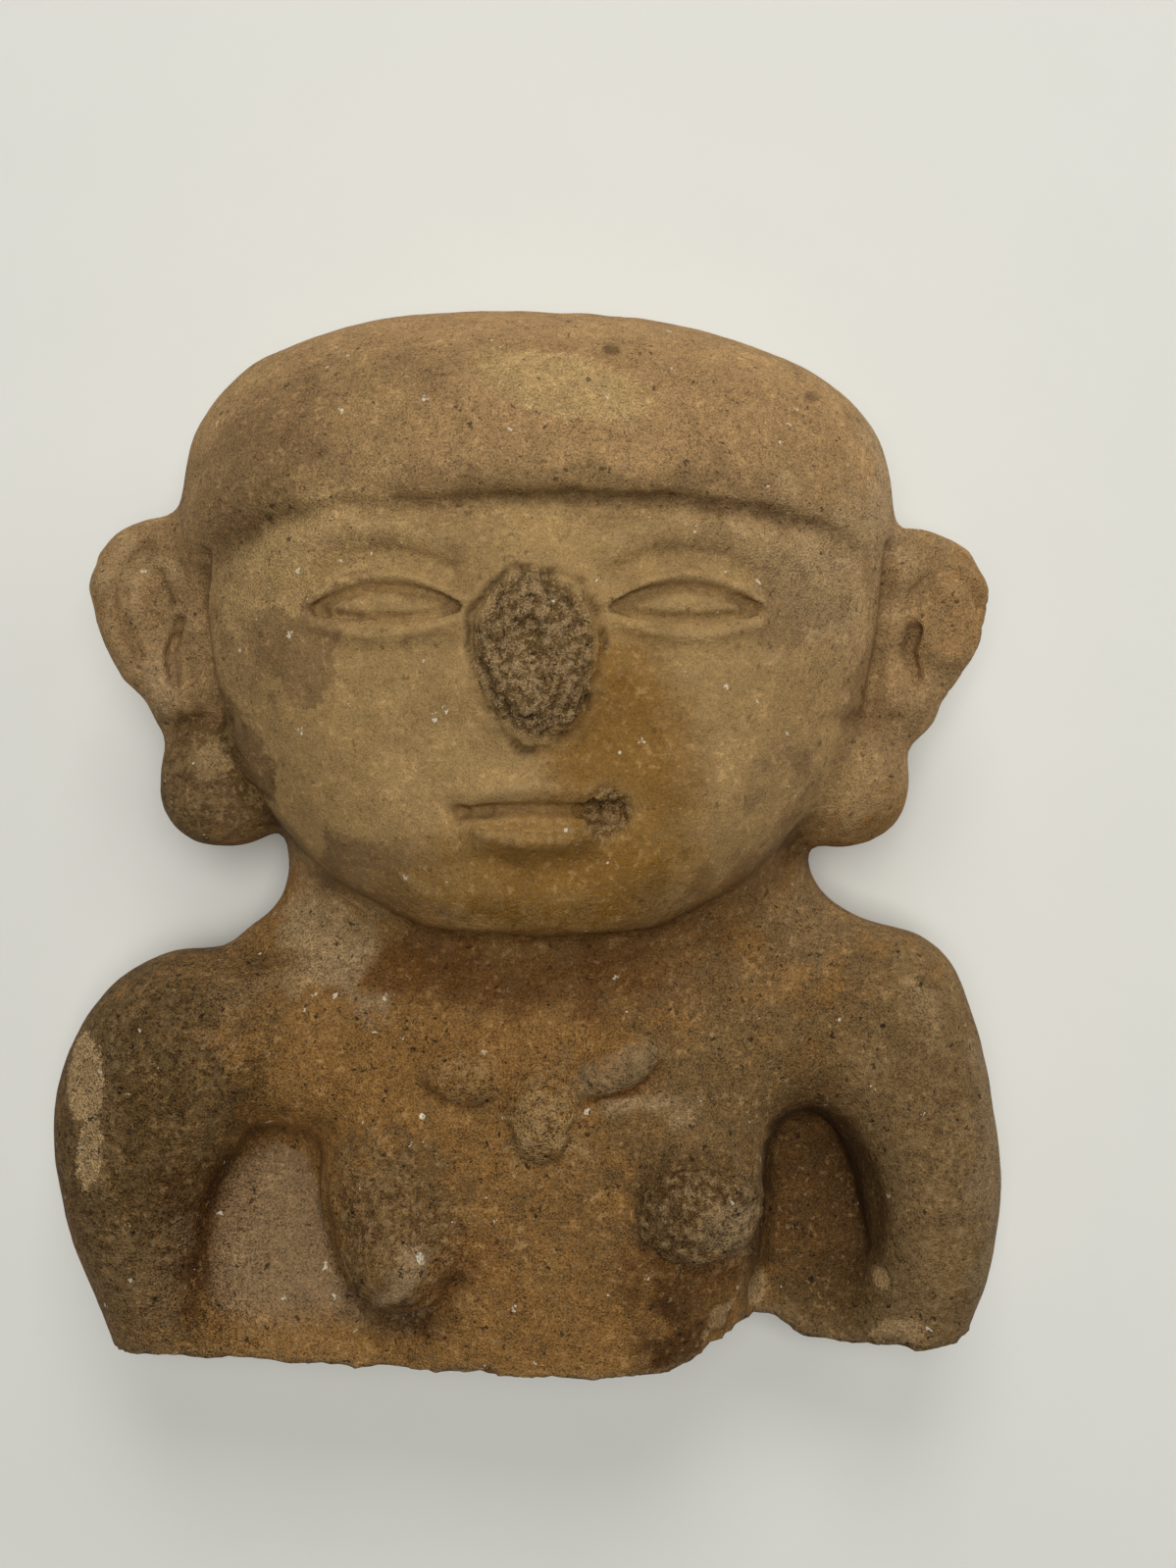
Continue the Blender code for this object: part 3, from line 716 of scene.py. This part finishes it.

# %% Stains, painted shadows and patches
STAINS_AND_PAINTED_SHADOWS = [
    ("head", 1.2, 73, 47, 30, 0, 0.06, 0.1, 1.0),
    ("cap", -8, 92, 32, 12, 0, 0.3, 0.5, 0.8),
    ("warm cap", 17, 88, 20, 8, -8, 0.5, 0.7, 0.8),
    ("brown", -25, 83, 8, 6, 30, 0.5, 0.7, 0.6),
    ("buff", 1.0, 75.5, 14, 5.5, 0, 0.5, 0.6, 0.95),
    # Painted shadow: a brown band under the rim of the cap.
    ("brown", 5, 81.4, 18, 1.7, 0, 0.6, 0.4, 0.8),
    ("tan", 26, 73, 8, 7, -20, 0.5, 0.8, 0.85),
    ("buff", -18, 75, 10, 5, 20, 0.5, 0.7, 0.7),
    ("umber", -23.6, 79.0, 7, 2.4, 25, 0.5, 0.6, 0.55),
    ("brown", -20, 57.5, 7.5, 8, -10, 0.4, 0.8, 0.5),
    ("umber", -15.5, 48.8, 8, 4.4, -38, 0.45, 0.8, 0.5),
    ("umber", 18, 47.6, 8, 4.4, 38, 0.45, 0.8, 0.4),
    ("pale", 33.0, 82.5, 2.4, 8, 0, 0.5, 0.7, 0.6),
    # Partly painted shadow under the chin, partly the red of the neck.
    ("rust", 2, 37.6, 20, 4, 0, 0.5, 0.4, 0.9),
    ("tan", -19.6, 41.4, 4.4, 4.8, 30, 0.35, 0.9, 0.95),
    ("pale", -16.8, 37.0, 1.0, 4.2, 28, 0.3, 0.9, 0.6),
    ("grey", 27.4, 42.4, 7, 4, -20, 0.5, 0.6, 0.6),
    ("olive", 19, 25, 9, 14, 0, 0.6, 0.6, 0.75),
    ("olive", 38, 18, 11, 26, 0, 0.35, 0.5, 0.9),
    ("umber", 33, 26, 11, 12, 0, 0.6, 0.7, 0.35),
    ("grey", 45.0, 22, 2.6, 20, -2, 0.5, 0.6, 0.8),
    ("umber", -32, 35.5, 10, 6, 12, 0.5, 0.5, 0.8),
    ("smoke", -37.5, 21, 11, 18, 6, 0.4, 0.5, 0.95),
    ("umber", -39.5, 5.5, 8, 6, 0, 0.5, 0.6, 0.7),
    # A dark band on the inner wall of the left arm.
    ("dark", -32.2, 13.0, 2.6, 8, -4, 0.6, 0.3, 0.85),
    ("umber", -12.4, 14.5, 6.4, 8.4, 8, 0.4, 0.7, 0.85),
    ("pale", -11.9, 10.2, 2.2, 2.0, 0, 0.4, 0.5, 0.6),
    # Painted shadow under the left breast.
    ("dark", -12.0, 6.0, 5.4, 2.0, -16, 0.5, 0.5, 0.9),
    # Painted shadow at the lower right of the left breast.
    ("rust", -6.6, 8.6, 2.6, 4.6, -30, 0.6, 0.5, 0.7),
    ("umber", 15.4, 16.0, 6.6, 6.6, 0, 0.4, 0.6, 0.95),
    ("smoke", 15.0, 17.6, 5.0, 3.4, 0, 0.5, 0.9, 0.5),
    # Painted shadow under the right breast.
    ("rust", 15.2, 9.6, 6.0, 2.0, 0, 0.5, 0.5, 0.8),
    ("slip", 1.5, 23.8, 3.2, 4.4, 0, 0.4, 0.9, 0.5),
    ("grey", 9.0, 28.6, 4.2, 2.4, 32, 0.3, 0.6, 0.7),
    # Painted shadow under the right bead.
    ("rust", 9.6, 25.9, 3.2, 0.9, 24, 0.3, 0.4, 0.9),
    ("pale", 11.2, 24.5, 3.0, 0.8, 14, 0.4, 0.6, 0.5),
    ("dark", 14.0, 3.0, 4.4, 5.4, -20, 0.6, 0.6, 0.95),
    ("grey", 20.8, 14.0, 1.2, 8.0, 0, 0.5, 0.5, 0.45),
    ("olive", 29.0, 4.0, 7.0, 6.0, 0, 0.5, 0.5, 0.9),
    ("smoke", 28.4, 6.4, 6.0, 5.0, 0, 0.6, 0.6, 0.6),
    ("tan", -37.2, 74.8, 2.4, 4.4, -8, 0.3, 0.7, 0.7),
    ("umber", -30.0, 55.4, 8.4, 7.4, 0, 0.3, 0.6, 1.0),
    ("smoke", -30.0, 55.0, 7.0, 6.0, 0, 0.5, 0.9, 0.75),
    ("orange", 42.6, 73.0, 2.8, 7.0, -10, 0.4, 0.6, 0.6),
    # Painted shadow under the right ornament.
    ("rust", 27.0, 50.6, 2.6, 2.0, 0, 0.4, 0.7, 0.8),
    ("tan", 18.4, 5.0, 0.35, 2.6, -24, 0.3, 0.6, 0.55),
    ("tan", 37.4, 34.4, 0.8, 2.6, 28, 0.3, 0.7, 0.5),
]
BACK_STAINS = [
    ("umber", 12, 18, 22, 12, 10, 0.5, 0.8, 0.6),
    ("smoke", -28, 30, 10, 9, 0, 0.5, 0.8, 0.7),
    ("pale", -6, 80, 12, 7, -10, 0.4, 0.9, 0.5),
    ("brown", 14, 72, 12, 8, 20, 0.5, 0.8, 0.6),
    ("tan", -20, 12, 3.0, 1.6, 30, 0.2, 0.8, 0.6),
    ("tan", 30, 34, 2.0, 2.6, 0, 0.2, 0.8, 0.6),
]
PATCHES = [
    ("slip", 1.5, 62, 22, 19, 0, 0.25, 0.6, 0.9),
    ("ochre", 8.6, 57.5, 6.5, 11, 14, 0.45, 0.5, 0.85),
    ("ochre", 3, 46.0, 13, 5.6, 0, 0.5, 0.5, 0.9),
    ("buff", 3.6, 90.6, 7.6, 3.4, -14, 0.15, 0.5, 0.85),
    ("pale", 18.6, 14.4, 2.4, 2.4, 0, 0.2, 1.2, 0.45),
    ("tan", -19.4, 41.2, 3.2, 4.0, 30, 0.3, 1.0, 0.9),
    ("pale", -34.6, 64.8, 1.6, 3.4, 0, 0.3, 1.2, 0.5),
    ("pale", -29.4, 57.4, 1.6, 1.6, 0, 0.3, 2.6, 0.4),
    ("tan", -41.6, 27.2, 2.0, 4.2, 6, 0.08, 0.7, 0.85),
    ("tan", -40.8, 20.4, 1.3, 3.2, -4, 0.08, 0.8, 0.9),
    ("tan", 22.1, 6.1, 1.0, 1.6, -8, 0.1, 0.5, 0.8),
    ("tan", 33.7, 8.0, 0.7, 1.0, 0, 0.1, 0.6, 0.85),
    ("tan", 35.2, 2.8, 2.4, 1.5, 25, 0.1, 0.8, 0.7),
    ("speck", 7.9, 94.2, 0.8, 0.6, 0, 0.5, 0.9, 0.6),
    ("speck", 26.2, 90.4, 0.8, 0.5, 0, 0.5, 0.9, 0.5),
    ("white", -9.5, 11.6, 0.3, 0.6, 20, 0.2, 0.9, 0.95),
    ("white", -9.6, 24.2, 0.3, 0.3, 0, 0.2, 0.9, 0.9),
]
print(len(STAINS_AND_PAINTED_SHADOWS) + len(BACK_STAINS), "soft stains and", len(PATCHES), "crisp patches")

# %% Where the patches lie
surface = BVHTree.FromObject(figure, bpy.context.evaluated_depsgraph_get())


def height_at(across, along):
    """How far the skin is proud of the table at this place of the front view, in shares."""
    x, y = (across - MIDDLE[0]) * SHARE, (along - MIDDLE[1]) * SHARE
    hit = surface.ray_cast(Vector((x, y, 0.1)), Vector((0, 0, -1)))[0]
    return hit.z / SHARE if hit else 14.0


print("the nose stands", round(height_at(MIDLINE, nose_middle), 1), "shares proud")

# %% Stains and painted shadows on the points
SOFT_COLOUR_WANDER = 3.0
wander = np.column_stack([clouds(5.0, 2, offset) for offset in (1.0, 21.0, 41.0)])
frays = clouds(2.0, 4, 61.0)


def half_depth(half_across, half_along):
    """How far a stain, painted shadow or patch reaches into the clay, in shares, so that it also colours
    slopes.
    """
    return 1.5 * max(half_across, half_along) + 4


def lay_soft_colour(under, name, across, along, proud, half_across, half_along, turn, softness, fray, strength):
    """Lays one soft stain or painted shadow over the colours of the points."""
    c, s = math.cos(math.radians(turn)), math.sin(math.radians(turn))
    x, y, z = (places + SOFT_COLOUR_WANDER * wander - (across, along, proud)).T
    u, v = (x * c + y * s) / half_across, (y * c - x * s) / half_along
    w = z / half_depth(half_across, half_along)
    far = np.sqrt(u ** 2 + v ** 2 + w ** 2)
    mask = strength * (1 - step(far + 0.7 * fray * frays, 1 - softness, 1 + softness))
    return under + (np.array(PALETTE[name]) - under) * mask[:, None]


painted = np.tile(np.array(PALETTE["chest"]), (len(places), 1))
for name, across, along, *rest in BACK_STAINS:
    painted = lay_soft_colour(painted, name, across, along, 0, *rest)
for name, across, along, *rest in STAINS_AND_PAINTED_SHADOWS:
    painted = lay_soft_colour(painted, name, across, along, height_at(across, along), *rest)
paint = mesh.attributes.new("stains_and_painted_shadows", "FLOAT_COLOR", "POINT")
paint.data.foreach_set("color", painted.astype(np.float32).ravel())
print("stains painted on", len(painted), "points")

# %% The terracotta
terracotta = bpy.data.materials.new("terracotta")
terracotta.use_nodes = True
tree = terracotta.node_tree
surface_shader = tree.nodes["Principled BSDF"]
coordinates = add(tree, "TexCoord")
mapping = add(tree, "Mapping", vector_type="POINT")
feed(tree, mapping.inputs["Vector"], coordinates.outputs["Object"])
mapping.inputs["Scale"].default_value = (1 / SHARE,) * 3
mapping.inputs["Location"].default_value = tuple(MIDDLE)
spot = mapping.outputs[0]


def warped(scale, amount, detail=2.0):
    """The place, shaken by soft noise, so that what reads it gets a natural edge."""
    shake = add(tree, "VectorMath", operation="MULTIPLY_ADD")
    centred = add(tree, "VectorMath", operation="SUBTRACT")
    feed(tree, centred.inputs[0], cloudy(tree, spot, scale, detail, colour=True))
    centred.inputs[1].default_value = (0.5, 0.5, 0.5)
    feed(tree, shake.inputs[0], centred.outputs[0])
    shake.inputs[1].default_value = (amount,) * 3
    feed(tree, shake.inputs[2], spot)
    return shake.outputs[0]


def stored(name):
    """The number that the mesh holds under this name."""
    return add(tree, "Attribute", attribute_name=name).outputs["Fac"]


shaken = warped(0.22, 5.0, 2.0)
grain = cloudy(tree, spot, 1.1, 4.0, 0.75)


def lay_patch(under, name, across, along, proud, half_across, half_along, turn, softness, fray, strength):
    """Lays one crisp patch over a colour. The edge of a large one wanders."""
    patch = add(tree, "Group", node_tree=patch_group)
    is_small = max(half_across, half_along) < 5
    feed(tree, patch.inputs["Place"], spot if is_small else shaken)
    feed(tree, patch.inputs["Grain"], grain)
    patch.inputs["Centre"].default_value = (across, along, proud)
    depth = half_depth(half_across, half_along)
    patch.inputs["Half sizes"].default_value = (half_across, half_along, depth)
    patch.inputs["Turn"].default_value = -math.radians(turn)
    patch.inputs["Softness"].default_value = softness
    patch.inputs["Fray"].default_value = fray * 2
    patch.inputs["Strength"].default_value = strength
    return layer(tree, under, PALETTE[name], patch.outputs[0])


colour = add(tree, "Attribute", attribute_name="stains_and_painted_shadows").outputs["Color"]
for name, across, along, *rest in PATCHES:
    colour = lay_patch(colour, name, across, along, height_at(across, along), *rest)
print("the terracotta has", len(tree.nodes), "nodes so far")

# %% [markdown]
# ## Mottling, dirt, painted shade and sand
# The slip is worn to islands, and noise of several sizes breaks up every colour, most where the
# clay is gritty. The steep flanks are made paler as painted light from the table, and pale blooms lie here
# and there.
# Dirt and painted shade darken the hollows, and the hollow under the right arm gets painted shade. Wear
# lightens the crests, and the breaks show the colour of the core. Grains of sand in two sizes, dark and
# pale, come last.

# %% Mottling, grit, painted shade and painted light
GRIT_CONTRAST = 2.0
PAINTED_BOUNCE_GAIN = 1.45


def times(value, factor):
    """A colour made darker or brighter by this factor."""
    made = add(tree, "VectorMath", operation="SCALE")
    feed(tree, made.inputs[0], value)
    feed(tree, made.inputs["Scale"], factor)
    return made.outputs[0]


recess_floor = calc(tree, "MULTIPLY", stored("left_recess"), ramp(tree, grain, 0.25, 0.5, 0.75, 1.0))
colour = layer(tree, colour, PALETTE["floor"], recess_floor)
# Painted shade: the hollow under the right arm is darkened.
colour = layer(tree, colour, PALETTE["dark"], calc(tree, "MULTIPLY", stored("right_hollow"), 0.6))
mottle = cloudy(tree, spot, 0.3, 5.0, 0.68)
wear = cloudy(tree, spot, 0.12, 6.0, 0.62)
islands = calc(tree, "MULTIPLY", ramp(tree, wear, 0.51, 0.525), stored("worn"))
colour = layer(tree, colour, PALETTE["slip"], calc(tree, "MULTIPLY", islands, 0.65))
gaps_in_slip = calc(tree, "MULTIPLY", ramp(tree, wear, 0.47, 0.455), stored("worn"))
colour = layer(tree, colour, PALETTE["brown"], calc(tree, "MULTIPLY", gaps_in_slip, 0.7))
middle = cloudy(tree, spot, 1.5, 2.0, 0.6)
fine = cloudy(tree, spot, 5.6, 1.0, 0.7)
streaks = add(tree, "Mapping", vector_type="POINT")
feed(tree, streaks.inputs["Vector"], spot)
streaks.inputs["Scale"].default_value = (0.5, 3.2, 1.2)
felt = cloudy(tree, streaks.outputs[0], 1.0, 1.0, 0.6)
shade = ramp(tree, mottle, 0.25, 0.75, 0.84, 1.16)
grit = stored("grit")
uneven = calc(tree, "MULTIPLY_ADD", fine, 2.2, calc(tree, "MULTIPLY", middle, 0.7))
uneven = calc(tree, "MULTIPLY_ADD", felt, 0.35, uneven)
uneven = calc(tree, "MULTIPLY", calc(tree, "SUBTRACT", uneven, 1.625), GRIT_CONTRAST)
shade = calc(tree, "MULTIPLY_ADD", uneven, grit, shade)
shade = calc(tree, "MAXIMUM", shade, 0.3)
# Painted light: the steep flanks are brightened, standing in for light bounced from the table.
painted_bounce_gain = ramp(tree, stored("painted_bounce_flank"), 0.0, 1.0, 1.0, PAINTED_BOUNCE_GAIN)
colour = times(colour, calc(tree, "MULTIPLY", shade, painted_bounce_gain))
bloom = ramp(tree, middle, 0.56, 0.66, 0.0, 1.0)
bloom = calc(tree, "MULTIPLY", bloom, ramp(tree, mottle, 0.45, 0.6, 0.1, 1.0))
colour = layer(tree, colour, layer(tree, times(colour, 1.35), PALETTE["tan"], 0.35), bloom)
print("mottled, with", GRIT_CONTRAST, "times the contrast of plain noise")

# %% Dirt and painted shade, and wear
hollow, crest = stored("hollow"), stored("crest")
# Painted shade and dirt: the hollows are darkened together, the deeper the darker.
dirt_and_painted_shade = calc(tree, "MULTIPLY", hollow, ramp(tree, grain, 0.3, 0.7, 0.3, 0.85))
colour = layer(tree, colour, PALETTE["dark"], calc(tree, "MULTIPLY", dirt_and_painted_shade, 0.45))
rubbed = calc(tree, "MULTIPLY", crest, ramp(tree, grain, 0.4, 0.65, 0.0, 0.4))
colour = layer(tree, colour, PALETTE["tan"], rubbed)
coarse_dark = calc(tree, "MULTIPLY", stored("coarse"), ramp(tree, grain, 0.47, 0.4, 0.0, 0.6))
colour = layer(tree, colour, PALETTE["dark"], coarse_dark)
coarse_light = calc(tree, "MULTIPLY", stored("coarse"), ramp(tree, grain, 0.53, 0.62, 0.0, 0.6))
colour = layer(tree, colour, PALETTE["tan"], coarse_light)
chip_edge = calc(tree, "MULTIPLY", stored("chipped"), ramp(tree, fine, 0.35, 0.6, 0.0, 0.4))
colour = layer(tree, colour, PALETTE["tan"], chip_edge)
core_tone = ramp(tree, grain, 0.43, 0.57, 0.0, 1.0)
core = layer(tree, PALETTE["core"], PALETTE["smoke"], core_tone)
core = times(core, ramp(tree, fine, 0.3, 0.7, 0.6, 1.4))
colour = layer(tree, colour, core, calc(tree, "MULTIPLY", stored("broken"), 0.85))
# Soot darkens the cracks, and painted shade darkens the groove under the rim of the cap.
colour = layer(tree, colour, PALETTE["soot_and_painted_shade"], calc(tree, "MULTIPLY", stored("cracks_and_rim_shade"), 0.75))
print("dirt in the hollows, wear on the crests")

# %% Sand in the clay


def sand(spacing, size, dark_share, light_share):
    """Where grains of this spacing and size lie: the dark ones and the pale ones."""
    grains = add(tree, "Group", node_tree=sand_group)
    feed(tree, grains.inputs["Place"], bent)
    grains.inputs["Spacing"].default_value = spacing
    grains.inputs["Size"].default_value = size
    grains.inputs["Dark share"].default_value = dark_share
    grains.inputs["Light share"].default_value = light_share
    return grains.outputs["Dark"], grains.outputs["Light"]


bent = warped(2.2, 1.1, 1.0)
fine_dark, fine_light = sand(0.42, 0.46, 0.34, 0.22)
large_dark, large_light = sand(0.95, 0.30, 0.38, 0.045)
in_place = ramp(tree, grit, 0.1, 0.7, 0.3, 1.0)
colour = layer(tree, colour, PALETTE["pale"], calc(tree, "MULTIPLY", fine_light, 0.5))
colour = layer(tree, colour, times(colour, 0.42), calc(tree, "MULTIPLY", fine_dark, in_place))
colour = layer(tree, colour, times(colour, 0.22), calc(tree, "MULTIPLY", large_dark, in_place))
colour = layer(tree, colour, PALETTE["white"], calc(tree, "MULTIPLY", large_light, 0.8))
feed(tree, surface_shader.inputs["Base Color"], colour)
print("sand in two sizes, dark and pale")

# %% Gloss and grain
rough = ramp(tree, grain, 0.3, 0.7, 0.72, 0.92)
feed(tree, surface_shader.inputs["Roughness"], rough)
surface_shader.inputs["Specular IOR Level"].default_value = 0.2
height = calc(tree, "MULTIPLY_ADD", middle, 0.9, fine)
height = calc(tree, "MULTIPLY", grit, height)
bump = add(tree, "Bump")
bump.inputs["Strength"].default_value = 0.8
bump.inputs["Distance"].default_value = 0.0005
feed(tree, bump.inputs["Height"], height)
feed(tree, surface_shader.inputs["Normal"], bump.outputs[0])
mesh.materials.clear()
mesh.materials.append(terracotta)
mesh.shade_smooth()
print("finished with", len(tree.nodes), "nodes")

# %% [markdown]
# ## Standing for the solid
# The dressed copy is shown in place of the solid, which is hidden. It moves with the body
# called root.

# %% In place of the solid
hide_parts("effigy_figure")
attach(figure, "root")

# %% [markdown]
# ## Table and light
# The table is a sheet of pale board. Most of the light comes from a soft lamp right above it, which
# leaves only faint shadows, and weaker lamps beyond the crown model the chin and the beads.

# %% The table
board = bmesh.new()
bmesh.ops.create_grid(board, x_segments=8, y_segments=8, size=1.5)
table_mesh = bpy.data.meshes.new("table")
board.to_mesh(table_mesh)
board.free()
table = bpy.data.objects.new("table", table_mesh)
scene.collection.objects.link(table)
paper = bpy.data.materials.new("pale_board")
paper.use_nodes = True
paper_shader = paper.node_tree.nodes["Principled BSDF"]
paper_place = add(paper.node_tree, "TexCoord").outputs["Object"]
fibre = cloudy(paper.node_tree, paper_place, 60.0, 5.0, 0.6)
paper_colour = layer(paper.node_tree, (0.775, 0.77, 0.70, 1), (0.805, 0.80, 0.73, 1), fibre)
feed(paper.node_tree, paper_shader.inputs["Base Color"], paper_colour)
paper_shader.inputs["Roughness"].default_value = 0.6
table_mesh.materials.append(paper)
print("table", table.dimensions.x, "m wide")

# %% Lamps and sky


def lamp(name, place, size, watts):
    """A square soft lamp that looks at the figure."""
    light = bpy.data.lights.new(name, "AREA")
    light.size = size
    light.energy = watts
    made = bpy.data.objects.new(name, light)
    made.location = place
    made.rotation_euler = (Vector((0, 0, 0.02)) - Vector(place)).to_track_quat("-Z", "Y").to_euler()
    scene.collection.objects.link(made)


lamp("ceiling", (0.02, 0.05, 1.25), 0.5, 9.4)
lamp("window", (0.05, 0.75, 0.95), 0.5, 3.6)
lamp("side window", (0.75, 0.55, 0.40), 0.5, 1.4)
lamp("low window", (-0.10, 0.85, 0.40), 0.5, 0.6)
sky = bpy.data.worlds.new("sky")
sky.use_nodes = True
sky.node_tree.nodes["Background"].inputs["Color"].default_value = (0.93, 0.95, 1.0, 1)
sky.node_tree.nodes["Background"].inputs["Strength"].default_value = 0.02
scene.world = sky
print("four lamps and a faint sky")
